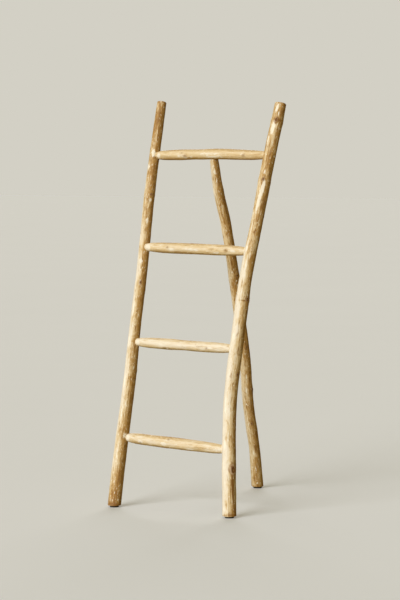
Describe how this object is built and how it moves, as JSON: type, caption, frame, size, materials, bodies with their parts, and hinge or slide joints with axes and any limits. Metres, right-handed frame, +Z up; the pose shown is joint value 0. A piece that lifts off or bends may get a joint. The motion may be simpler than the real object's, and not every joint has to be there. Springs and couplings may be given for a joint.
{
  "type": "ladder rack",
  "caption": "Free-standing ladder rack of peeled branches for hanging quilts and blankets, with rungs in round mortises and a prop leg that folds on the top rung.",
  "frame": {"origin": "on the floor, at the middle of the rack's footprint box", "axes": "+X across the rack from the left rail to the right rail as seen from the front, +Y back towards the prop leg, +Z up"},
  "size_m": [0.5694, 0.743, 1.5244],
  "materials": {
    "rail_wood": "peeled branch, dry and unvarnished, with pale sapwood streaks, brown bark traces and small knots",
    "rung_wood": "peeled and shaved branch, dry, paler than the rails",
    "peg_wood": "turned hardwood dowel",
    "steel": "plain bright steel, slightly dulled",
    "pad_rubber": "matt black"
  },
  "bodies": {
    "ladder": {"rail_left": "rail_wood", "rail_right": "rail_wood", "rung_upper": "rung_wood", "rung_lower": "rung_wood", "rung_bottom": "rung_wood", "nail_upper_left": "steel", "nail_upper_right": "steel", "nail_lower_left": "steel", "nail_lower_right": "steel", "nail_bottom_left": "steel", "nail_bottom_right": "steel", "stop_pin_left": "steel", "stop_pin_right": "steel", "foot_pad_left": "pad_rubber", "foot_pad_right": "pad_rubber", "pad_screw_left": "steel", "pad_screw_right": "steel"},
    "prop": {"rung_top": "rung_wood", "prop_leg": "rail_wood", "leg_peg": "peg_wood", "foot_pad_rear": "pad_rubber", "pad_screw_rear": "steel"}
  },
  "joints": [
    {"name": "leg_fold", "type": "hinge", "parent": "ladder", "child": "prop", "pos_m": [0, -0.03003, 1.316], "axis": [1, 0, 0], "range_deg": [-25, 0]}
  ]
}
